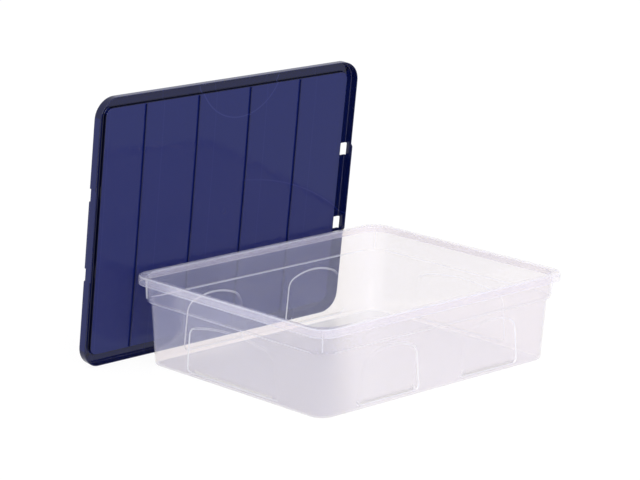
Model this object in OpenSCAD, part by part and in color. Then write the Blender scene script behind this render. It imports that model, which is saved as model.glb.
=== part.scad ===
// Under bed storage box: a clear tub with a folded-over rim, and its loose recessed lid,
// which leans against the tub on its long edge.
// Frame: origin at the middle of the tub's base, +X along the long side, +Z up.

/* [Tub] */
// Length over the rim, along X
tub_l = 590; // [540:5:640]
// Width over the rim, along Y
tub_w = 470; // [430:5:510]
// Height to the top of the rim
tub_h = 157; // [130:1:190]
// Wall thickness
wall = 2; // [1.6:0.1:3]
// Height of the shoulder, where the wall steps in
shoulder_z = 114; // [90:1:120]
// Inset of the collar's outer face from the rim's edge
collar_inset = 10; // [8:0.5:12]
// Inset of the wall's outer face just under the shoulder
wall_inset = 15; // [13:0.5:18]
// Inset of the wall's outer face at the base
base_inset = 22; // [20:0.5:30]
// Rounding of the base's edge
base_round = 6; // [3:0.5:9]
// Corner radius of the collar and the upper wall
wall_r = 36; // [32:1:44]
// Corner radius of the wall at the base
base_r = 30; // [26:1:32]

/* [Rim] */
// Corner radius of the rim's outer edge
rim_r = 35; // [32:1:44]
// Height of the folded-down lip
lip_h = 15; // [10:1:20]
// Thickness of the fin under the rim at each corner
fin_t = 1.8; // [1.2:0.1:3]
// How far each fin's foot stands out of the collar
fin_out = 4; // [2:0.5:6]

/* [Arched panels] */
// Depth that the arched panels are pressed inwards
arch_depth = 1.5; // [0.5:0.1:2]
// Height of the crown of every arch
arch_crown_z = 99; // [80:1:105]
// Height of the foot of every arch
arch_foot_z = 9; // [7:1:20]
// Fall from the crown to the ends of the top edge
arch_fall = 13; // [5:1:20]
// Rounding of the arches' corners
arch_round = 12; // [5:1:18]
// Middle of each long-side arch, from the tub's middle
long_arch_x = 120; // [100:1:140]
// Half width of a long-side arch at its top
long_arch_top = 56; // [40:1:65]
// Half width of a long-side arch at its foot
long_arch_foot = 72; // [60:1:80]
// Half width of a short-side arch at its top
short_arch_top = 98; // [80:1:110]
// Half width of a short-side arch at its foot
short_arch_foot = 112; // [100:1:125]

/* [Lid] */
// Gap all round between the skirt and the rim
lid_gap = 0.5; // [0.3:0.1:1.5]
// Thickness of the lid
lid_t = 2; // [1.6:0.1:3]
// Depth of the skirt along the long sides, from the lid's top
skirt_h = 13; // [10:0.5:15]
// Depth of the skirt at the short ends
end_skirt_h = 16; // [15:0.5:17]
// Width of the raised border round the recessed panel
border = 19; // [18:0.5:24]
// Depth of the recess in the lid's top
recess = 6; // [3:0.5:7]
// Corner radius of the recessed panel
panel_r = 16; // [10:1:24]
// Height of the stiffening ribs under the panel
rib_h = 3; // [1:0.5:5]
// Thickness of the ribs
rib_t = 2.4; // [1.5:0.1:4]
// Spacing of the ribs
rib_pitch = 118; // [100:1:125]
// Offset of the set of ribs from the lid's middle
rib_shift = -15; // [-20:1:20]

/* [Snap flaps] */
// Length of a window along the lid's short side
window_l = 23; // [15:1:35]
// Width of a window, in from the skirt's outside
window_w = 15; // [10:0.5:16]
// Depth of a window's cut in the skirt
window_h = 5.5; // [3:0.5:8]
// Distance of each window's middle from the lid's middle line
window_y = 70; // [50:1:120]
// Depth of the flap that joins the two windows of an end, from the lid's top
flap_h = 18.5; // [18:0.5:22]
// How far the flap stands out of the skirt
flap_out = 0.8; // [0.4:0.1:1.5]
// Height of the snap bead on the inside of the flap, under each window
bead = 0.8; // [0.4:0.1:1.2]

/* [Leaning lid] */
// Lean of the lid towards the tub
lean = 6; // [4:0.5:10]
// Shift of the lid along X
lid_x = -85; // [-110:1:0]
// Gap between the lid's skirt and the tub's rim where it leans
lean_gap = 1.5; // [1.2:0.1:3]

/* [Hidden] */
$fn = 64;
far = 700;
sliver = 0.25;
lid_l = tub_l + 2 * (lid_gap + lid_t);
lid_w = tub_w + 2 * (lid_gap + lid_t);
lid_r = rim_r + lid_gap + lid_t;
panel_l = lid_l - 2 * border;
panel_w = lid_w - 2 * border;
tip = 90 - lean;
// The foot of the leaning lid is the free edge of its lower skirt, and its right end leans on the rim
lid_z = lid_w / 2 * sin(tip) + skirt_h * cos(tip);
lid_y = tub_w / 2 + lean_gap + tub_h * tan(lean) + end_skirt_h * cos(lean)
        - lid_w / 2 * cos(tip);

// A rectangle with rounded corners
module rounded(l, w, r) {
    square([l - 2 * r, w], center = true);
    square([l, w - 2 * r], center = true);
    for (x = [-1, 1], y = [-1, 1])
        translate([x * (l / 2 - r), y * (w / 2 - r)]) circle(r);
}

// A flat layer of the tub, inset from the rim's edge
module layer(inset, r, z, h) {
    translate([0, 0, z]) linear_extrude(h)
        rounded(tub_l - 2 * inset, tub_w - 2 * inset, r);
}

// The tapered lower part of the tub as a full solid, shrunk by a wall
module lower(shrink, floor_z) {
    soft = base_round * (1 - cos(45));
    hull() {
        layer(base_inset + base_round + shrink, base_r - base_round, floor_z, sliver);
        layer(base_inset + soft + shrink, base_r - soft, floor_z + soft, sliver);
        layer(base_inset + shrink, base_r - shrink / 2, floor_z + base_round, sliver);
        layer(wall_inset + shrink, wall_r - shrink, shoulder_z - sliver, sliver);
    }
}

// Outline of an arched panel: a trapezoid under a bowed top, with round corners
module arch(top, foot, grow) {
    bow = (pow(top, 2) + pow(arch_fall, 2)) / (2 * arch_fall);
    offset(arch_round + grow) offset(-arch_round) intersection() {
        polygon([[-foot, arch_foot_z], [foot, arch_foot_z],
                 [top, arch_crown_z], [-top, arch_crown_z]]);
        translate([0, arch_crown_z - bow]) circle(bow, $fn = 180);
    }
}

// Every arch, run right through the tub
module arches(grow) {
    for (x = [-1, 1])
        translate([x * long_arch_x, far / 2, 0]) rotate([90, 0, 0])
            linear_extrude(far) arch(long_arch_top, long_arch_foot, grow);
    translate([-far / 2, 0, 0]) rotate([90, 0, 90])
        linear_extrude(far) arch(short_arch_top, short_arch_foot, grow);
}

// The lower part with its arched panels pressed in. The cavity's arches are a wall's
// thickness wider, so that each step round an arch is as thick as the wall.
module arched_lower(shrink, floor_z) {
    difference() {
        lower(shrink, floor_z);
        arches(shrink);
    }
    intersection() {
        lower(shrink + arch_depth, floor_z);
        arches(shrink);
    }
}

// The collar above the shoulder, and the rim folded over it
module collar_and_rim() {
    difference() {
        union() {
            layer(collar_inset, wall_r + wall, shoulder_z - wall, tub_h - shoulder_z + wall);
            layer(0, rim_r, tub_h - wall, wall);
        }
        layer(collar_inset + wall, wall_r, shoulder_z, tub_h);
        layer(wall_inset + wall, wall_r - wall, 0, tub_h);
    }
    difference() {
        layer(0, rim_r, tub_h - lip_h, lip_h);
        layer(wall, rim_r - wall, 0, 2 * tub_h);
    }
}

// One thin fin under the rim, on the diagonal of each corner
module fins() {
    for (x = [-1, 1], y = [-1, 1])
        translate([x * (tub_l / 2 - collar_inset - wall_r), y * (tub_w / 2 - collar_inset - wall_r), 0])
            rotate([0, 0, atan2(y, x)])
                translate([wall_r, -fin_t / 2, shoulder_z - wall])
                    cube([wall + fin_out, fin_t, tub_h - shoulder_z]);
}

module tub() {
    color([0.9, 0.91, 0.95, 0.45]) {
        difference() {
            arched_lower(0, 0);
            arched_lower(wall, wall);
            layer(wall_inset + wall, wall_r - wall, shoulder_z - wall, far);
        }
        collar_and_rim();
        fins();
    }
}

// The outside of the skirt at the middle of each short end
module at_ends() {
    for (x = [-1, 1])
        translate([x * lid_l / 2, 0, 0]) mirror([x < 0 ? 1 : 0, 0, 0]) children();
}

// The four snap windows are placed by the lid's ends
module at_windows() {
    for (y = [-1, 1]) translate([0, y * window_y, 0]) at_ends() children();
}

// A ring of the lid between two insets from its edge
module lid_ring(outer, outer_r, inner, inner_r, z, h) {
    translate([0, 0, z]) linear_extrude(h) difference() {
        rounded(lid_l - 2 * outer, lid_w - 2 * outer, outer_r);
        rounded(lid_l - 2 * inner, lid_w - 2 * inner, inner_r);
    }
}

// The skirt, which deepens round the corners towards the short ends
module skirt() {
    straight = lid_l / 2 - lid_r;
    deep = straight + 0.8 * lid_r;
    difference() {
        lid_ring(0, lid_r, lid_t, lid_r - lid_t, -end_skirt_h, end_skirt_h);
        rotate([90, 0, 0]) linear_extrude(far, center = true)
            polygon([[-straight, -skirt_h], [straight, -skirt_h],
                     [deep, -end_skirt_h], [deep, -far], [-deep, -far], [-deep, -end_skirt_h]]);
    }
}

// The flap at each short end, which stands out of the skirt below the windows
module flaps() {
    half = window_y + window_l / 2;
    slope = 2 * (flap_h - end_skirt_h);
    at_ends() translate([-lid_t, 0, 0]) rotate([90, 0, 90]) linear_extrude(lid_t + flap_out)
        polygon([[-half, -window_h], [half, -window_h], [half, -end_skirt_h],
                 [half - slope, -flap_h], [slope - half, -flap_h], [-half, -end_skirt_h]]);
}

// The lid as it lies closed, its top border at z = 0 and its skirt hanging down
module flat_lid() {
    panel_low = -recess - lid_t;
    difference() {
        union() {
            lid_ring(0, lid_r, border + lid_t, panel_r - lid_t, -lid_t, lid_t);
            skirt();
            lid_ring(border, panel_r, border + lid_t, panel_r - lid_t, panel_low, -panel_low);
            translate([0, 0, panel_low]) linear_extrude(lid_t) rounded(panel_l, panel_w, panel_r);
            flaps();
            at_windows() translate([-lid_t - bead, -window_l / 2, -end_skirt_h])
                cube([bead + lid_t, window_l, lid_t]);
        }
        at_windows() translate([-window_w, -window_l / 2, -window_h])
            cube([window_w + 1, window_l, window_h + 1]);
    }
    for (i = [-1.5:1:1.5])
        translate([rib_shift + i * rib_pitch, 0, panel_low - rib_h / 2 + sliver])
            cube([rib_t, panel_w - 2 * lid_t, rib_h], center = true);
}

module lid() {
    color([0.1, 0.12, 0.42])
        translate([lid_x, lid_y, lid_z]) rotate([-tip, 0, 0]) flat_lid();
}

tub();
lid();
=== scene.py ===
"""Under bed box: a clear tub and the translucent navy lid that leans on it."""

import math

import bmesh
import bpy
from mathutils import Matrix, Vector
from mathutils.geometry import delaunay_2d_cdt


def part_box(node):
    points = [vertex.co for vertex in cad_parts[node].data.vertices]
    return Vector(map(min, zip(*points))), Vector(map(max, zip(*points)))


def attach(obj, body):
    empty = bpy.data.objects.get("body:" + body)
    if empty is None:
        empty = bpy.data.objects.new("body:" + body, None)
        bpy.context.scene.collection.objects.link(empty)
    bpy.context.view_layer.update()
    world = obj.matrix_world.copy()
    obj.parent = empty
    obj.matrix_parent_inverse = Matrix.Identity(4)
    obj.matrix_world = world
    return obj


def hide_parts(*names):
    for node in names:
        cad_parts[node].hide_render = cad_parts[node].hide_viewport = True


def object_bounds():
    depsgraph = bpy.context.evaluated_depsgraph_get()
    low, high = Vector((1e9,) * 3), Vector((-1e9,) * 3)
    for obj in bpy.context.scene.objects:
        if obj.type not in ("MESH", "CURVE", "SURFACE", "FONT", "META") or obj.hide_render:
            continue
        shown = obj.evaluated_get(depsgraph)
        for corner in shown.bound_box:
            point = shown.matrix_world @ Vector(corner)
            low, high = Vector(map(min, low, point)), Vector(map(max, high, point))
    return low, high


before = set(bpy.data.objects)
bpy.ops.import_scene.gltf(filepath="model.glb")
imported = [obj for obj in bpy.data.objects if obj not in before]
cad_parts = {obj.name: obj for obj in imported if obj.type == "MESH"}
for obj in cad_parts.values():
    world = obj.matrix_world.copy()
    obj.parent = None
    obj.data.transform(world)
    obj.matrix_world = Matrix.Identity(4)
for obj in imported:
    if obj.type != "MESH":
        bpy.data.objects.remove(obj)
cad_low, cad_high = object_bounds()

MM = 0.001

# ---------------------------------------------------------------- driving dimensions, in metres
tub_low, tub_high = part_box("tub")
lid_low, lid_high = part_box("lid")
TUB_HALF = ((tub_high.x - tub_low.x) / 2, (tub_high.y - tub_low.y) / 2)
TUB_TOP = tub_high.z
WALL = 2 * MM
SHOULDER = TUB_TOP - 43 * MM
COLLAR_INSET = 10 * MM
WALL_INSET = 15 * MM
BASE_INSET = 22 * MM
BASE_ROUND = 6 * MM
LIP = 15 * MM
FOOT_ROUND = WALL / 2
# Where the tapered wall with its arches ends and the shoulder's rounds begin
TAPER_TOP = SHOULDER - 3.2 * MM
FIN_THICK = 1.8 * MM
# How far a fin stands out of the collar at its foot and at its top
FIN_OUT = (2.2 * MM, 3.9 * MM)
TUB_MARK = 0.5 * MM

# How far in from the rim's edge the centres of the corner rounds lie
WALL_RADIUS = 36 * MM
WALL_CENTRE = WALL_INSET + WALL_RADIUS
COLLAR_CENTRE = COLLAR_INSET + WALL + WALL_RADIUS
RIM_CENTRE = 35 * MM

ARCH_DEPTH = 1.5 * MM
ARCH_CROWN = 99 * MM
ARCH_FOOT = 9 * MM
ARCH_FALL = 13 * MM
ARCH_ROUND = 11 * MM
ARCH_RAMP = 1.5 * MM
LONG_ARCH_PLACES = (-120 * MM, 120 * MM)
LONG_ARCH = (56 * MM, 72 * MM)
SHORT_ARCH = (98 * MM, 112 * MM)

LID_GAP = 0.5 * MM
LID_HALF = tuple(half + LID_GAP + WALL for half in TUB_HALF)
LID_CENTRE = RIM_CENTRE + LID_GAP + WALL
SKIRT = 13 * MM
END_SKIRT = 16 * MM
BORDER = 19 * MM
PANEL_RADIUS = 16 * MM
PANEL_CENTRE = BORDER + PANEL_RADIUS
PANEL_TOP = -6 * MM
PANEL_LOW = PANEL_TOP - WALL
PANEL_BOW = 3 * MM
RIB_HEIGHT = 3 * MM
RIB_WIDTH = 2.4 * MM
RIB_PITCH = 118 * MM
RIB_SHIFT = -15 * MM
RIB_PLACES = tuple(RIB_SHIFT + (i - 1.5) * RIB_PITCH for i in range(4))
# A rib's section: shares of its width, and of its height below the panel or of RIB_ROOT above it
RIB_SECTION = (
    (-0.5, 2), (-0.5, 0.3), (-0.42, -0.85), (-0.25, -1),
    (0.25, -1), (0.42, -0.85), (0.5, 0.3), (0.5, 2),
)
RIB_ROOT = 0.5 * MM
LID_MARK = 0.3 * MM
WINDOW_LENGTH = 23 * MM
WINDOW_WIDTH = 15 * MM
WINDOW_DEPTH = 5.5 * MM
WINDOW_PLACES = (-70 * MM, 70 * MM)
FLAP_DEPTH = 18.5 * MM
FLAP_OUT = 0.8 * MM
BEAD = 0.8 * MM
LEAN = math.radians(6)

# How fine the meshes are: steps round a ring and up a wall, stations along a rib, and pitches
CORNER_STEPS = 12
LONG_STEPS = 24
SHORT_STEPS = 20
WALL_STEPS = 8
RIB_STATIONS = 36
WALL_PITCH = 14 * MM
FLOOR_PITCH = 24 * MM
PANEL_PITCH = 13 * MM
CROWN_PITCH = 6 * MM
OUTLINE_PITCH = 3 * MM
SHARP_ANGLE = math.radians(38)


# ---------------------------------------------------------------- mesh helpers
def arc(centre, radius, start, end, steps=4):
    """Section points (inset, z) round an arc, with its angles in degrees."""
    points = []
    for k in range(steps + 1):
        a = math.radians(start + (end - start) * k / steps)
        points.append((centre[0] + radius * math.cos(a), centre[1] + radius * math.sin(a)))
    return points


def soft(corner, radius, start, end, steps=4):
    """Section points (inset, z) that round a sharp corner, with the arc's angles in degrees."""
    middle = math.radians((start + end) / 2)
    centre_inset = corner[0] - math.copysign(radius, math.cos(middle))
    centre_z = corner[1] - math.copysign(radius, math.sin(middle))
    return arc((centre_inset, centre_z), radius, start, end, steps)


def ring(half, centre_inset, inset, z):
    """Points round a rounded rectangle, anticlockwise, each straight after its corner."""
    cx, cy = half[0] - centre_inset, half[1] - centre_inset
    radius = centre_inset - inset
    points = []
    for quarter, (sx, sy) in enumerate(((1, 1), (-1, 1), (-1, -1), (1, -1))):
        for k in range(CORNER_STEPS + 1):
            a = math.pi / 2 * (quarter + k / CORNER_STEPS)
            points.append(Vector((sx * cx + radius * math.cos(a), sy * cy + radius * math.sin(a), z)))
        steps, reach = ((LONG_STEPS, cx), (SHORT_STEPS, cy))[quarter % 2]
        for k in range(1, steps):
            along = reach - 2 * reach * k / steps
            side = (
                (along, cy + radius),
                (-cx - radius, along),
                (-along, -cy - radius),
                (cx + radius, -along),
            )
            points.append(Vector((*side[quarter], z)))
    return points


def side_frames(half):
    """For each side: its half length, its direction of travel, its outward normal and its distance out."""
    return (
        (0, Vector((-1, 0, 0)), Vector((0, 1, 0)), half[1]),
        (1, Vector((0, -1, 0)), Vector((-1, 0, 0)), half[0]),
        (0, Vector((1, 0, 0)), Vector((0, -1, 0)), half[1]),
        (1, Vector((0, 1, 0)), Vector((1, 0, 0)), half[0]),
    )


def band(bm, lower, upper, skip=()):
    """Faces between two rings with the same count of points, apart from those that start at skip."""
    count = len(lower)
    low = [bm.verts.new(p) for p in lower]
    high = [bm.verts.new(p) for p in upper]
    for i in range(count):
        if i not in skip:
            j = (i + 1) % count
            bm.faces.new((low[i], low[j], high[j], high[i]))


def straight_starts():
    """The places in a ring where a face of a straight side starts."""
    starts, at = set(), 0
    for quarter in range(4):
        steps = (LONG_STEPS, SHORT_STEPS)[quarter % 2]
        at += CORNER_STEPS
        starts.update(range(at, at + steps))
        at += steps
    return starts


def inside(point, outline):
    """True if a flat point lies inside a closed outline."""
    odd = False
    for a, b in zip(outline, outline[1:] + outline[:1]):
        if (a.y > point.y) != (b.y > point.y):
            if point.x < a.x + (point.y - a.y) * (b.x - a.x) / (b.y - a.y):
                odd = not odd
    return odd


def grown(outline, distance):
    """A closed anticlockwise outline moved outwards."""
    moved = []
    for before, here, after in zip(outline[-1:] + outline[:-1], outline, outline[1:] + outline[:1]):
        along = (after - before).normalized()
        moved.append(here + distance * Vector((along.y, -along.x)))
    return moved


def sheet(bm, border, steps, pitch, place):
    """Fills a convex flat border with triangles. steps are (outline, height, ramp): the surface
    rises by height inside that outline, over a ramp that wide. place(point, height) sets a point
    of it in space."""
    clearance = 0.4 * pitch
    points = list(border)
    heights = [0.0] * len(border)
    edges = [(i, (i + 1) % len(border)) for i in range(len(border))]
    for outline, height, ramp in steps:
        for share in (0, 0.25, 0.5, 0.75, 1):
            loop = grown(outline, ramp * (0.5 - share))
            start = len(points)
            points += loop
            heights += [height * share * share * (3 - 2 * share)] * len(loop)
            edges += [(start + i, start + (i + 1) % len(loop)) for i in range(len(loop))]
    fixed = list(points)
    xs, ys = [p.x for p in border], [p.y for p in border]
    wide, tall = max(xs) - min(xs), max(ys) - min(ys)
    columns = max(1, round(wide / pitch))
    rows = max(1, round(tall / pitch))
    for i in range(1, columns):
        for j in range(1, rows):
            p = Vector((min(xs) + wide * i / columns, min(ys) + tall * j / rows))
            if inside(p, border) and min((p - q).length_squared for q in fixed) > clearance**2:
                points.append(p)
                heights.append(sum(h for outline, h, _ in steps if inside(p, outline)))
    flat, _, faces, sources, _, _ = delaunay_2d_cdt(points, edges, [], 0, 1e-7)
    made = []
    for p, source in zip(flat, sources):
        made.append(bm.verts.new(place(p, heights[source[0]] if source else 0.0)))
    for face in faces:
        bm.faces.new([made[i] for i in face])


def weld(bm):
    """Joins what meets and turns every face outwards."""
    bmesh.ops.remove_doubles(bm, verts=bm.verts, dist=2e-6)
    bmesh.ops.recalc_face_normals(bm, faces=bm.faces)


def to_object(bm, name):
    mesh = bpy.data.meshes.new(name)
    bm.to_mesh(mesh)
    bm.free()
    obj = bpy.data.objects.new(name, mesh)
    bpy.context.scene.collection.objects.link(obj)
    return obj


def soft_box(bm, low, high, rounding, turn):
    """A box with rounded edges, moved by a matrix."""
    made = bmesh.ops.create_cube(bm, size=1)["verts"]
    size = Vector(high) - Vector(low)
    middle = (Vector(high) + Vector(low)) / 2
    for v in made:
        v.co = Vector(a * b for a, b in zip(v.co, size)) + middle
    edges = {e for v in made for e in v.link_edges}
    made = bmesh.ops.bevel(bm, geom=list(edges), offset=rounding, segments=3, affect="EDGES", profile=0.5)
    bmesh.ops.transform(bm, matrix=turn, verts=made["verts"])


def combine(obj, other, operation):
    """Adds another closed object to obj, or cuts it away, and removes it."""
    change = obj.modifiers.new(operation, "BOOLEAN")
    change.operation = operation
    change.solver = "EXACT"
    change.object = other
    graph = bpy.context.evaluated_depsgraph_get()
    mesh = bpy.data.meshes.new_from_object(obj.evaluated_get(graph))
    obj.modifiers.clear()
    obj.data = mesh
    bpy.data.objects.remove(other)


def finish_surface(obj, material):
    """Smooth shading that keeps true edges, and the piece's material."""
    obj.data.materials.clear()
    obj.data.materials.append(material)
    obj.data.shade_smooth()
    obj.data.set_sharp_from_angle(angle=SHARP_ANGLE)
    normals = obj.modifiers.new("normals", "WEIGHTED_NORMAL")
    normals.keep_sharp = True
    normals.weight = 80


def tag_faces(obj, name, share_at):
    """A number on every face, which the material reads."""
    tags = obj.data.attributes.new(name, "FLOAT", "FACE")
    tags.data.foreach_set("value", [share_at(face) for face in obj.data.polygons])


# ---------------------------------------------------------------- tub
def wall_inset(z):
    """Inset of the tub's outer wall at a height between the base's round and the shoulder."""
    share = (z - BASE_ROUND) / (SHOULDER - BASE_ROUND)
    return BASE_INSET + (WALL_INSET - BASE_INSET) * share


def arch_outline(top, foot):
    """A trapezoid under a bowed top with soft corners, anticlockwise, about x = 0."""
    bow = (top**2 + ARCH_FALL**2) / (2 * ARCH_FALL)
    lean = (foot - top) / (ARCH_CROWN - ARCH_FOOT)
    # Step by step to the point where the slanting side meets the bowed top
    z = ARCH_CROWN - ARCH_FALL
    for _ in range(8):
        x = foot - lean * (z - ARCH_FOOT)
        z = ARCH_CROWN - bow + math.sqrt(bow**2 - x**2)
    spread = math.asin(x / bow)
    cut = ARCH_ROUND / bow
    steps = max(8, round(2 * x / CROWN_PITCH))
    crown = []
    for k in range(steps + 1):
        a = (spread - cut) * (1 - 2 * k / steps)
        crown.append(Vector((bow * math.sin(a), ARCH_CROWN - bow + bow * math.cos(a))))
    shoulder, toe = Vector((x, z)), Vector((foot, ARCH_FOOT))
    side = (shoulder - toe).normalized() * ARCH_ROUND
    right_foot = bend(toe - Vector((ARCH_ROUND, 0)), toe, toe + side)
    right_shoulder = bend(shoulder - side, shoulder, crown[0])
    right = right_foot + right_shoulder[:-1]
    left = [Vector((-p.x, p.y)) for p in reversed(right)]
    return even(right + crown + left, OUTLINE_PITCH)


def bend(a, corner, b, steps=7):
    """Points of a soft corner from a to b."""
    points = []
    for k in range(steps + 1):
        t = k / steps
        points.append(a * (1 - t) ** 2 + corner * 2 * t * (1 - t) + b * t**2)
    return points


def even(outline, pitch):
    """The same closed outline with no stretch longer than about pitch."""
    points = []
    for a, b in zip(outline, outline[1:] + outline[:1]):
        count = max(1, round((b - a).length / pitch))
        points += [a.lerp(b, k / count) for k in range(count)]
    return points


def side_arches(length_axis):
    """The arches of a long side (0) or a short side (1)."""
    if length_axis:
        return [arch_outline(*SHORT_ARCH)]
    outline = arch_outline(*LONG_ARCH)
    return [[p + Vector((place, 0)) for p in outline] for place in LONG_ARCH_PLACES]


def wall_zone(bm, low_z, high_z, shrink):
    """The tapered wall with its pressed arches. shrink is 0 outside and a wall's thickness inside."""
    rows = [low_z + (high_z - low_z) * k / WALL_STEPS for k in range(WALL_STEPS + 1)]
    straights = straight_starts()
    rings = [ring(TUB_HALF, WALL_CENTRE, wall_inset(z) + shrink, z) for z in rows]
    for lower, upper in zip(rings, rings[1:]):
        band(bm, lower, upper, straights)
    for length_axis, along, out, distance in side_frames(TUB_HALF):
        reach = TUB_HALF[length_axis] - WALL_CENTRE
        count = (LONG_STEPS, SHORT_STEPS)[length_axis]
        stops = [-reach + 2 * reach * k / count for k in range(count + 1)]
        border = [Vector((x, low_z)) for x in stops]
        border += [Vector((reach, z)) for z in rows[1:-1]]
        border += [Vector((x, high_z)) for x in reversed(stops)]
        border += [Vector((-reach, z)) for z in reversed(rows[1:-1])]
        steps = [(grown(outline, shrink), ARCH_DEPTH, ARCH_RAMP) for outline in side_arches(length_axis)]

        def place(p, depth, along=along, out=out, distance=distance):
            return along * p.x + out * (distance - wall_inset(p.y) - shrink - depth) + Vector((0, 0, p.y))

        sheet(bm, border, steps, WALL_PITCH, place)


def gate_mark(radius, spread, count, ramp, mark):
    """The steps of a round gate mark: a nub that rises by mark, in a wider dish half as deep."""
    turns = [2 * math.pi * k / count for k in range(count)]
    nub = [Vector((radius * math.cos(a), radius * math.sin(a))) for a in turns]
    dish = [spread * p for p in nub]
    return [(dish, -mark / 2, ramp), (nub, mark, 1 * MM)]


def tub_floor(bm, inset, z, mark):
    """A floor inside a ring, with a gate mark in its middle that rises by mark."""
    border = [p.xy for p in ring(TUB_HALF, WALL_CENTRE, inset, z)]
    steps = gate_mark(radius=7 * MM, spread=2.4, count=32, ramp=1.2 * MM, mark=mark)
    sheet(bm, border, steps, FLOOR_PITCH, lambda p, height: Vector((p.x, p.y, z + height)))


def tub_section():
    """Section runs (centre inset, [(inset, z), ...]) from the outer wall's top to the inner wall's."""
    mouth_inset = COLLAR_INSET + WALL
    flange_low = TUB_TOP - WALL
    lip_foot = TUB_TOP - LIP
    outer = [(wall_inset(TAPER_TOP), TAPER_TOP)]
    outer += soft((WALL_INSET, SHOULDER - WALL), 1 * MM, 0, 90)
    collar = soft((COLLAR_INSET, SHOULDER - WALL), 1.4 * MM, 270, 180)
    collar += soft((COLLAR_INSET, flange_low), 2.5 * MM, 0, 90)
    lip = soft((WALL, flange_low), 1.8 * MM, 90, 180)
    lip += [(WALL, lip_foot + 5 * MM)]
    lip += arc((FOOT_ROUND, lip_foot + FOOT_ROUND), FOOT_ROUND, 0, -180, 6)
    lip += [(0, lip_foot + 6 * MM)]
    lip += soft((0, TUB_TOP), 3 * MM, 180, 90, 5)
    mouth = soft((mouth_inset, TUB_TOP), 4 * MM, 90, 0, 6)
    mouth += [(mouth_inset, SHOULDER + 14 * MM)]
    mouth += soft((mouth_inset, SHOULDER), 2 * MM, 180, 270)
    inner = soft((WALL_INSET + WALL, SHOULDER), 1.2 * MM, 90, 0)
    inner += [(wall_inset(TAPER_TOP) + WALL, TAPER_TOP)]
    return (
        (WALL_CENTRE, outer),
        (COLLAR_CENTRE, collar),
        (RIM_CENTRE, lip),
        (COLLAR_CENTRE, mouth),
        (WALL_CENTRE, inner),
    )


def corner_fins():
    """The thin fin under the rim at each corner, on the corner's diagonal."""
    bm = bmesh.new()
    for sx, sy in ((1, 1), (-1, 1), (-1, -1), (1, -1)):
        centre = Vector((sx * (TUB_HALF[0] - COLLAR_CENTRE), sy * (TUB_HALF[1] - COLLAR_CENTRE), 0))
        collar_r = COLLAR_CENTRE - COLLAR_INSET
        turn = Matrix.Translation(centre) @ Matrix.Rotation(math.atan2(sy, sx), 4, "Z")
        outline = (
            (collar_r - 1 * MM, SHOULDER + 1 * MM),
            (collar_r + FIN_OUT[0], SHOULDER + 1 * MM),
            (collar_r + FIN_OUT[1], TUB_TOP - 1 * MM),
            (collar_r - 1 * MM, TUB_TOP - 1 * MM),
        )
        faces = []
        for y in (-FIN_THICK / 2, FIN_THICK / 2):
            faces.append([bm.verts.new(turn @ Vector((d, y, z))) for d, z in outline])
        near, far = faces
        bm.faces.new(reversed(near))
        bm.faces.new(far)
        for i in range(4):
            j = (i + 1) % 4
            bm.faces.new((near[i], near[j], far[j], far[i]))
    bmesh.ops.recalc_face_normals(bm, faces=bm.faces)
    return to_object(bm, "fins")


def build_tub():
    bm = bmesh.new()
    rings = [ring(TUB_HALF, centre, inset, z) for centre, run in tub_section() for inset, z in run]
    base = soft((BASE_INSET, 0), BASE_ROUND, 270, 180, 6)
    outer_base = [ring(TUB_HALF, WALL_CENTRE, inset, z) for inset, z in base]
    round_top = BASE_ROUND + WALL
    foot_inset = wall_inset(round_top) + WALL
    base_inside = soft((foot_inset, WALL), BASE_ROUND, 180, 270, 6)
    inner_base = [ring(TUB_HALF, WALL_CENTRE, inset, z) for inset, z in base_inside]
    for run in (outer_base, rings, inner_base):
        for lower, upper in zip(run, run[1:]):
            band(bm, lower, upper)
    wall_zone(bm, BASE_ROUND, TAPER_TOP, 0)
    wall_zone(bm, round_top, TAPER_TOP, WALL)
    tub_floor(bm, BASE_INSET + BASE_ROUND, 0, 0)
    tub_floor(bm, foot_inset + BASE_ROUND, WALL, TUB_MARK)
    weld(bm)
    tub = to_object(bm, "clear_tub")
    combine(tub, corner_fins(), "UNION")
    return tub


# ---------------------------------------------------------------- lid, built flat with its top at z = 0
def bow_at(x, y):
    """How far the panel bows downwards at a point."""
    u = x / (LID_HALF[0] - BORDER)
    v = y / (LID_HALF[1] - BORDER)
    return PANEL_BOW * max(0, 1 - u * u) * max(0, 1 - v * v)


def lid_section():
    """Section runs (centre inset, [(inset, z), ...]) from the panel's top round to its underside."""
    mid_skirt = -8 * MM
    recess = soft((BORDER + WALL, PANEL_TOP), 1.5 * MM, 270, 180)
    recess += soft((BORDER + WALL, 0), 1 * MM, 0, 90)
    skirt = soft((0, 0), 2.5 * MM, 90, 180, 5)
    skirt += [(0, mid_skirt)]
    skirt += arc((FOOT_ROUND, FOOT_ROUND - SKIRT), FOOT_ROUND, 180, 360, 6)
    skirt += [(WALL, mid_skirt)]
    skirt += soft((WALL, -WALL), 2 * MM, 180, 90)
    step = soft((BORDER, -WALL), 1.5 * MM, 90, 0)
    step += soft((BORDER, PANEL_LOW), 1 * MM, 180, 270)
    return ((PANEL_CENTRE, recess), (LID_CENTRE, skirt), (PANEL_CENTRE, step))


def deepen(point):
    """Lowers the skirt's free edge round the corners and along the short ends."""
    ramp = 0.8 * LID_CENTRE
    share = (abs(point.x) - LID_HALF[0] + LID_CENTRE) / ramp
    if point.z < FOOT_ROUND - SKIRT + 1e-6:
        point.z -= (END_SKIRT - SKIRT) * min(1, max(0, share))
    return point


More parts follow.
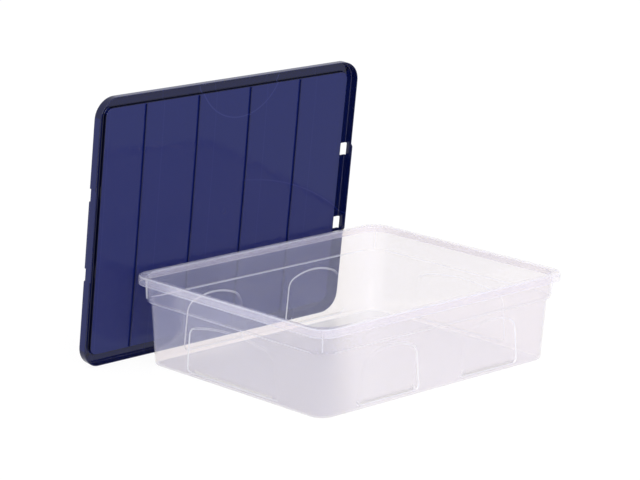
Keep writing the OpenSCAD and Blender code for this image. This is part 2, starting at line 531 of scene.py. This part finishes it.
def panel(bm, inset, z, mark):
    """The panel's face at a height, bowed, with a gate mark in its middle that sinks by mark."""
    border = [p.xy for p in ring(LID_HALF, PANEL_CENTRE, inset, z)]
    steps = gate_mark(radius=6 * MM, spread=2.7, count=24, ramp=1.5 * MM, mark=-mark)
    sheet(bm, border, steps, PANEL_PITCH, lambda p, height: Vector((p.x, p.y, z - bow_at(*p) + height)))


def ribs():
    """The stiffening ribs under the panel, which follow its bow."""
    bm = bmesh.new()
    reach = LID_HALF[1] - BORDER - WALL
    for x in RIB_PLACES:
        rows = []
        for k in range(RIB_STATIONS + 1):
            y = -reach + 2 * reach * k / RIB_STATIONS
            base = PANEL_LOW - bow_at(x, y)
            row = []
            for side, up in RIB_SECTION:
                height = up * RIB_HEIGHT if up < 0 else up * RIB_ROOT
                row.append(bm.verts.new((x + side * RIB_WIDTH, y, base + height)))
            rows.append(row)
        bm.faces.new(rows[0])
        bm.faces.new(reversed(rows[-1]))
        for here, after in zip(rows, rows[1:]):
            for a in range(len(RIB_SECTION)):
                b = (a + 1) % len(RIB_SECTION)
                bm.faces.new((here[a], here[b], after[b], after[a]))
    bmesh.ops.recalc_face_normals(bm, faces=bm.faces)
    return to_object(bm, "ribs")


def at_windows():
    """The place and direction out of each of the four snap windows."""
    for end in (1, -1):
        for y in WINDOW_PLACES:
            yield Matrix.Translation((end * LID_HALF[0], y, 0)) @ Matrix.Diagonal((end, 1, 1, 1))


def window_cutters():
    bm = bmesh.new()
    half = WINDOW_LENGTH / 2
    for place in at_windows():
        soft_box(bm, (-WINDOW_WIDTH, -half, -WINDOW_DEPTH), (2 * MM, half, 1 * MM), 0.9 * MM, place)
    bmesh.ops.recalc_face_normals(bm, faces=bm.faces)
    return to_object(bm, "cutters")


def flaps():
    """The flap at each short end, which stands out of the skirt below the windows."""
    bm = bmesh.new()
    half = WINDOW_PLACES[1] + WINDOW_LENGTH / 2
    top = 0.3 * MM - WINDOW_DEPTH
    slope = 2 * (FLAP_DEPTH - END_SKIRT)
    corner = Vector((half - slope / 2, -FLAP_DEPTH))
    lower = bend(Vector((half, FOOT_ROUND - END_SKIRT)), corner, Vector((half - slope, -FLAP_DEPTH)))
    outline = [Vector((half, top))] + lower
    outline += [Vector((-p.x, p.y)) for p in reversed(outline)]
    # The flap's inner face lies just behind the skirt's, so that the two don't coincide
    depths = (0.15 * MM - WALL, FLAP_OUT)
    for end in (1, -1):
        sides = []
        for x in depths:
            sides.append([bm.verts.new((end * (LID_HALF[0] + x), p.x, p.y)) for p in outline])
        near, far = sides
        bm.faces.new(near)
        bm.faces.new(reversed(far))
        for i in range(len(outline)):
            j = (i + 1) % len(outline)
            bm.faces.new((near[i], far[i], far[j], near[j]))
    bmesh.ops.recalc_face_normals(bm, faces=bm.faces)
    rims = [e for e in bm.edges if e.calc_face_angle(0) > math.radians(50)]
    bmesh.ops.bevel(bm, geom=rims, offset=0.5 * MM, segments=2, affect="EDGES", profile=0.5)
    return to_object(bm, "flaps")


def snap_beads():
    """The bead inside the flap under each window, which snaps under the tub's rim."""
    bm = bmesh.new()
    half = WINDOW_LENGTH / 2 - 0.6 * MM
    for place in at_windows():
        low = (-WALL - BEAD, -half, -END_SKIRT + 0.2 * MM)
        high = (-0.7 * MM, half, -END_SKIRT + 2.2 * MM)
        soft_box(bm, low, high, 0.5 * MM, place)
    bmesh.ops.recalc_face_normals(bm, faces=bm.faces)
    return to_object(bm, "beads")


def build_lid():
    bm = bmesh.new()
    rows = [(centre, inset, z) for centre, run in lid_section() for inset, z in run]
    rings = [[deepen(p) for p in ring(LID_HALF, *row)] for row in rows]
    for lower, upper in zip(rings, rings[1:]):
        band(bm, lower, upper)
    panel(bm, rows[0][1], PANEL_TOP, LID_MARK)
    panel(bm, rows[-1][1], PANEL_LOW, LID_MARK)
    weld(bm)
    lid = to_object(bm, "navy_lid")
    combine(lid, flaps(), "UNION")
    combine(lid, snap_beads(), "UNION")
    combine(lid, window_cutters(), "DIFFERENCE")
    combine(lid, ribs(), "UNION")
    return lid


def lean_lid(lid):
    """Stands the flat lid on its long edge, leaning on the tub, where the CAD lid is."""
    flat = lid.data.attributes.new("flat", "FLOAT_VECTOR", "POINT")
    flat.data.foreach_set("vector", [c for v in lid.data.vertices for c in v.co])
    tip = math.pi / 2 - LEAN
    lid.data.transform(Matrix.Translation((
        (lid_low.x + lid_high.x) / 2,
        lid_high.y - LID_HALF[1] * math.cos(tip),
        LID_HALF[1] * math.sin(tip) + SKIRT * math.cos(tip),
    )) @ Matrix.Rotation(-tip, 4, "X"))


# ---------------------------------------------------------------- materials
WHITE = (1, 1, 1, 1)

# The clear tub's colours: what goes straight through, and what the milkiness scatters or lets past
WALL_TINT = (0.962, 0.945, 0.955, 1)
PLATE_TINT = (0.965, 0.955, 0.965, 1)
# At a steep slant: a longer path through the wall, and further darkening that is painted shade for the
# grey outlines refraction gives clear plastic
SLANT_PATH_AND_SHADE_TINT = (0.74, 0.72, 0.75, 1)
WALL_MILK = (0.60, 0.65, 1.0, 1)
WALL_PAST_MILK = (0.39, 0.33, 0.0, 1)
# On edges the scatter is whiter and stronger: painted highlight for the light that edges of clear plastic
# catch
EDGE_HIGHLIGHT_MILK = (0.88, 0.90, 1.0, 1)
EDGE_HIGHLIGHT_PAST_MILK = (0.10, 0.08, 0.0, 1)

# How milky the clear tub is: on a plain wall, what a slant adds, what an edge adds as painted highlight,
# and the floor's share
WALL_HAZE = (0.135, 0.155)
SLANT_HAZE = 0.18
EDGE_HIGHLIGHT_HAZE = 0.42
MOST_HAZE = 0.9
PLATE_HAZE_SHARE = 0.4

# The navy lid's colours: what goes straight through, and what it scatters
NAVY_TINT = (0.10, 0.125, 0.33, 1)
# Darker where tagged: real thicker plastic at the ribs and the step, and painted shade in the channel
# round the panel
THICK_AND_SHADED_TINT = (0.01, 0.02, 0.07, 1)
NAVY = (0.004, 0.010, 0.11, 1)
THICK_AND_SHADED_NAVY = (0.001, 0.002, 0.02, 1)
FLOW_NAVY = (0.03, 0.04, 0.2, 1)

# The lid's flow arcs: centre, radius, strength, and where along X each starts to fade in
FLOW_ARCS = (
    (22 * MM, -264.5 * MM, 98 * MM, 0.5, -120 * MM),
    (5 * MM, 424.5 * MM, 475 * MM, 0.3, 20 * MM),
)
FLOW_FADE = 60 * MM
STREAK_OFFSET = 40 * MM
STREAK_STRENGTH = 0.18


class Nodes:
    """Short ways to add and join a material's nodes."""

    def __init__(self, name):
        self.material = bpy.data.materials.new(name)
        self.material.use_nodes = True
        self.tree = self.material.node_tree
        self.tree.nodes.clear()

    def add(self, kind, settings=None, **inputs):
        node = self.tree.nodes.new(kind)
        for key, value in (settings or {}).items():
            setattr(node, key, value)
        for key, value in inputs.items():
            self.put(node.inputs[key.replace("_", " ")], value)
        return node

    def put(self, socket, value):
        if isinstance(value, bpy.types.NodeSocket):
            self.tree.links.new(value, socket)
        else:
            socket.default_value = value

    def math(self, operation, *values):
        node = self.tree.nodes.new("ShaderNodeMath")
        node.operation = operation
        for socket, value in zip(node.inputs, values):
            self.put(socket, value)
        return node.outputs[0]

    def ramp(self, value, low, high, to_low=0.0, to_high=1.0):
        node = self.add("ShaderNodeMapRange", {"interpolation_type": "SMOOTHSTEP"})
        for socket, number in zip(node.inputs, (value, low, high, to_low, to_high)):
            self.put(socket, number)
        return node.outputs[0]

    def mix(self, share, first, second):
        node = self.add("ShaderNodeMix", {"data_type": "RGBA"})
        self.put(node.inputs[0], share)
        self.put(node.inputs[6], first)
        self.put(node.inputs[7], second)
        return node.outputs[2]

    def blend(self, share, first, second):
        node = self.tree.nodes.new("ShaderNodeMixShader")
        self.put(node.inputs[0], share)
        self.tree.links.new(first, node.inputs[1])
        self.tree.links.new(second, node.inputs[2])
        return node.outputs[0]

    def sum(self, first, second):
        node = self.tree.nodes.new("ShaderNodeAddShader")
        self.tree.links.new(first, node.inputs[0])
        self.tree.links.new(second, node.inputs[1])
        return node.outputs[0]

    def face_tag(self, name):
        return self.add("ShaderNodeAttribute", {"attribute_name": name}).outputs["Fac"]

    def mirror_share(self, straight, normal):
        """The share of light that the surface mirrors, from either side, by Schlick's formula."""
        facing = self.add("ShaderNodeLayerWeight", Blend=0.5, Normal=normal).outputs["Facing"]
        rise = self.math("MULTIPLY", self.math("POWER", facing, 5.0), 1.0 - straight)
        return self.math("ADD", rise, straight)

    def end(self, surface):
        out = self.tree.nodes.new("ShaderNodeOutputMaterial")
        self.tree.links.new(surface, out.inputs["Surface"])
        return self.material


def clear_plastic():
    """Clear polypropylene with a slight bluish milkiness, which shows more at a slant; extra whiter
    milkiness on edges is a painted highlight, and the darker clear at a steep slant is partly painted
    shade.
    """
    n = Nodes("clear_polypropylene")
    place = n.add("ShaderNodeTexCoord").outputs["Object"]
    flow = n.add("ShaderNodeTexNoise", Vector=place, Scale=9.0, Detail=3.0, Roughness=0.5).outputs[0]
    normal = n.add("ShaderNodeBump", Strength=0.06, Distance=0.002, Height=flow).outputs[0]
    edge = n.face_tag("edge")
    plate = n.face_tag("plate")
    slant = n.add("ShaderNodeLayerWeight", Blend=0.5).outputs["Facing"]

    haze = n.ramp(flow, 0.35, 0.65, *WALL_HAZE)
    haze = n.math("ADD", haze, n.math("MULTIPLY", n.math("POWER", slant, 3.0), SLANT_HAZE))
    # Painted highlight: more haze on faces tagged as edges, so that they read as lit lines
    haze = n.math("ADD", haze, n.math("MULTIPLY", edge, EDGE_HIGHLIGHT_HAZE))
    haze = n.math("MINIMUM", haze, MOST_HAZE)
    haze = n.math("MULTIPLY", haze, n.ramp(plate, 0.0, 1.0, 1.0, PLATE_HAZE_SHARE))

    tint = n.mix(plate, WALL_TINT, PLATE_TINT)
    # Darker clear at a steep slant: partly the longer path, partly painted shade for refraction's grey
    # outlines
    tint = n.mix(n.math("POWER", slant, 6.0), tint, SLANT_PATH_AND_SHADE_TINT)
    clear = n.add("ShaderNodeBsdfTransparent", Color=tint).outputs[0]

    # What the milkiness scatters, whiter on edges as painted highlight, and the rest, which goes straight
    # on
    milk = n.mix(edge, WALL_MILK, EDGE_HIGHLIGHT_MILK)
    past_milk = n.mix(edge, WALL_PAST_MILK, EDGE_HIGHLIGHT_PAST_MILK)
    front = n.add("ShaderNodeBsdfDiffuse", Color=milk, Normal=normal).outputs[0]
    behind = n.add("ShaderNodeBsdfTranslucent", Color=milk, Normal=normal).outputs[0]
    past = n.add("ShaderNodeBsdfTransparent", Color=past_milk).outputs[0]
    body = n.blend(haze, clear, n.sum(n.blend(0.5, front, behind), past))

    rough = n.ramp(plate, 0.0, 1.0, 0.1, 0.3)
    gloss = n.add("ShaderNodeBsdfGlossy", Color=WHITE, Roughness=rough, Normal=normal).outputs[0]
    shine = n.math("ADD", n.mirror_share(0.03, normal), n.math("MULTIPLY", plate, 0.01))
    return n.end(n.blend(shine, body, gloss))


def flow_lines(n, place):
    """Faint lines that the plastic's flow leaves in the lid: two arcs, and a streak beside each rib."""
    apart = n.add("ShaderNodeSeparateXYZ", Vector=place).outputs
    x, y = apart[0], apart[1]
    lines = []
    for centre_x, centre_y, radius, strength, start in FLOW_ARCS:
        across = n.math("SUBTRACT", x, centre_x)
        down = n.math("SUBTRACT", y, centre_y)
        reach = n.math("ADD", n.math("POWER", across, 2.0), n.math("POWER", down, 2.0))
        off = n.math("ABSOLUTE", n.math("SUBTRACT", n.math("SQRT", reach), radius))
        line = n.ramp(off, 0.4 * MM, 1.5 * MM, strength, 0.0)
        lines.append(n.math("MULTIPLY", line, n.ramp(x, start, start + FLOW_FADE)))
    streak = n.math("SUBTRACT", x, RIB_PLACES[2] + STREAK_OFFSET)
    streak = n.math("PINGPONG", streak, RIB_PITCH / 2)
    lines.append(n.ramp(streak, 0.3 * MM, 1.2 * MM, STREAK_STRENGTH, 0.0))
    return n.math("MAXIMUM", n.math("MAXIMUM", lines[0], lines[1]), lines[2])


def navy_plastic():
    """Translucent navy polypropylene, darker where the moulding is thicker, with painted shade in the
    border round the panel.
    """
    n = Nodes("navy_polypropylene")
    place = n.add("ShaderNodeAttribute", {"attribute_name": "flat"}).outputs["Vector"]
    flow = n.add("ShaderNodeTexNoise", Vector=place, Scale=6.0, Detail=3.0).outputs[0]
    fine = n.add("ShaderNodeTexNoise", Vector=place, Scale=220.0, Detail=2.0).outputs[0]
    normal = n.add("ShaderNodeBump", Strength=0.1, Distance=0.002, Height=flow).outputs[0]
    normal = n.add("ShaderNodeBump", Strength=0.05, Distance=0.0003, Height=fine, Normal=normal).outputs[0]
    # Darker where tagged: thicker plastic at the ribs and step, painted shade in the channel
    thick = n.face_tag("thick")
    tint = n.mix(thick, NAVY_TINT, THICK_AND_SHADED_TINT)
    colour = n.mix(thick, NAVY, THICK_AND_SHADED_NAVY)
    colour = n.mix(flow_lines(n, place), colour, FLOW_NAVY)
    clear = n.add("ShaderNodeBsdfTransparent", Color=tint).outputs[0]
    front = n.add("ShaderNodeBsdfDiffuse", Color=colour, Normal=normal).outputs[0]
    body = n.blend(0.75, clear, front)
    gloss = n.add("ShaderNodeBsdfGlossy", Color=WHITE, Roughness=0.06, Normal=normal).outputs[0]
    return n.end(n.blend(n.mirror_share(0.031, normal), body, gloss))


def matt_white():
    """The studio's white floor, lit from below as well so that it stays pale under the object."""
    n = Nodes("matt_white")
    paper = n.add("ShaderNodeBsdfDiffuse", Color=(0.12, 0.12, 0.12, 1)).outputs[0]
    glow = n.add("ShaderNodeEmission", Color=WHITE, Strength=0.9).outputs[0]
    return n.end(n.sum(paper, glow))


# ---------------------------------------------------------------- what the materials read from the faces
# Painted highlight on the tub's fins and lip
FIN_HIGHLIGHT = 0.8
LIP_EDGE_HIGHLIGHT = 0.7
LIP_SIDE_HIGHLIGHT = 0.32
# Painted shade in the channel between the skirt and the panel's step; the ribs are darker for their real
# extra plastic
CHANNEL_SHADE = 0.6
RIB_THICK = 0.45


def inset_at(p, half):
    """How far in a point lies from the nearest of a piece's four sides."""
    return min(half[0] - abs(p.x), half[1] - abs(p.y))


def on_fin(p):
    """True on a corner's fin, between the collar and the lip."""
    past = Vector(max(0, abs(c) - half + COLLAR_CENTRE) for c, half in zip(p, TUB_HALF))
    out = past.length - COLLAR_CENTRE + COLLAR_INSET
    if min(past) > 15 * MM and 0.3 * MM < out < 5 * MM:
        return SHOULDER + 0.9 * MM < p.z < TUB_TOP - 2.2 * MM
    return False


def on_arch_step(face):
    """True for a face of a pressed arch's step, which doesn't lie flat in the wall."""
    p, normal = face.center, face.normal
    on_side = any(abs(c) < half - WALL_CENTRE for c, half in zip(p, TUB_HALF))
    flat = max(abs(normal.x), abs(normal.y)) >= 0.985
    return on_side and not flat and BASE_ROUND < p.z < ARCH_CROWN + 5 * MM


def tub_edge_highlight(face):
    """How much painted highlight a face gets for the light that edges catch, from 0 on a plain wall to 1
    on a crisp edge.
    """
    centre = face.center
    inset = inset_at(centre, TUB_HALF)
    rise = centre.z - SHOULDER
    # The corner fins get a strong painted highlight
    if on_fin(centre):
        return FIN_HIGHLIGHT
    # Full painted highlight on the collar's foot, and on the inner edge of the shoulder
    if -2 * MM < rise < -0.5 * MM and COLLAR_INSET < inset < COLLAR_INSET + 1.5 * MM:
        return 1.0
    if -1.3 * MM < rise < 0 and WALL_INSET + 0.7 * MM < inset < WALL_INSET + WALL:
        return 1.0
    # The lip's painted highlight, stronger at its foot and top round, which are crisper than its side
    if centre.z > TUB_TOP - LIP - 1 * MM and inset < COLLAR_INSET:
        at_foot = centre.z < TUB_TOP - LIP + 1 * MM
        at_top = TUB_TOP - 2.5 * MM < centre.z < TUB_TOP - 0.3 * MM
        return LIP_EDGE_HIGHLIGHT if at_foot or at_top else LIP_SIDE_HIGHLIGHT
    # Full painted highlight on the arches' steps, none on a plain wall
    return 1.0 if on_arch_step(face) else 0.0


def tub_plate(face):
    """1 on the tub's floor, which is clearer than its walls and less smooth."""
    return 1.0 if face.center.z < BASE_ROUND and abs(face.normal.z) > 0.9 else 0.0


def lid_thick(face):
    """How dark the lid is to look through: 1 at the panel's step, its plastic seen edge-on plus painted
    shade of the recess, less in the channel, which is painted shade, and in the ribs, whose plastic is
    thicker.
    """
    centre = face.center
    inset = inset_at(centre, LID_HALF)
    low = PANEL_LOW - bow_at(centre.x, centre.y)
    # The panel's step: its plastic seen edge-on, darkened further as painted shade of the recess
    if BORDER - 3 * MM < inset < BORDER + 1.2 * MM and centre.z < -WALL:
        return 1.0
    if inset < 0.3 * MM:
        return 0.0
    # The border and channel round the panel: painted shade, as the plastic there is no thicker than the
    # panel
    if inset < BORDER:
        return CHANNEL_SHADE
    return RIB_THICK if centre.z < low - 0.4 * MM else 0.0


# ---------------------------------------------------------------- studio
def studio():
    bpy.ops.mesh.primitive_plane_add(size=60)
    floor = bpy.context.object
    floor.name = "floor"
    # A little under the tub's base, so that the two faces don't coincide
    floor.location.z = -0.3 * MM
    floor.data.materials.append(matt_white())
    world = bpy.data.worlds.new("studio")
    world.use_nodes = True
    sky = world.node_tree.nodes["Background"]
    sky.inputs["Color"].default_value = WHITE
    sky.inputs["Strength"].default_value = 1.0
    scene = bpy.context.scene
    scene.world = world
    scene.view_settings.view_transform = "Standard"
    scene.cycles.max_bounces = 24
    scene.cycles.diffuse_bounces = 10
    scene.cycles.transparent_max_bounces = 48
    middle = (cad_low + cad_high) / 2
    soft_light("key", middle + Vector((-0.9, -2.8, 1.2)), middle, size=2.4, power=42)
    soft_light("top", middle + Vector((-0.3, 0.2, 3.0)), middle, size=3.0, power=4)


def soft_light(name, place, target, size, power):
    data = bpy.data.lights.new(name, "AREA")
    data.shape = "DISK"
    data.size = size
    data.energy = power
    lamp = bpy.data.objects.new(name, data)
    lamp.location = place
    lamp.rotation_euler = (target - place).to_track_quat("-Z", "Y").to_euler()
    bpy.context.scene.collection.objects.link(lamp)


def long_lens_camera():
    """A long lens from the tub's front left, a little above it and very slightly tipped."""
    azimuth, elevation, roll = (math.radians(a) for a in (-44.18, 13.95, 1.06))
    target = Vector((0.3496, 0.4378, 0.075))
    distance = 5.1209
    back = Vector((
        math.sin(azimuth) * math.cos(elevation),
        -math.cos(azimuth) * math.cos(elevation),
        math.sin(elevation),
    ))
    data = bpy.data.cameras.new("camera")
    data.sensor_width = 36
    data.lens = 150.17
    data.clip_end = 200
    camera = bpy.data.objects.new("camera", data)
    look = (-back).to_track_quat("-Z", "Y").to_matrix().to_4x4()
    place = Matrix.Translation(target + distance * back)
    camera.matrix_world = place @ look @ Matrix.Rotation(roll, 4, "Z")
    bpy.context.scene.collection.objects.link(camera)
    bpy.context.scene.camera = camera


# ---------------------------------------------------------------- making it
tub = build_tub()
# Where the tub gets painted edge highlight, and where its floor is
tag_faces(tub, "edge", tub_edge_highlight)
tag_faces(tub, "plate", tub_plate)
finish_surface(tub, clear_plastic())
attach(tub, "tub")
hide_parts("tub")

lid = build_lid()
# Where the lid is darker: its thicker plastic, and painted shade in the channel
tag_faces(lid, "thick", lid_thick)
finish_surface(lid, navy_plastic())
lean_lid(lid)
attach(lid, "lid")
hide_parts("lid")

studio()
long_lens_camera()
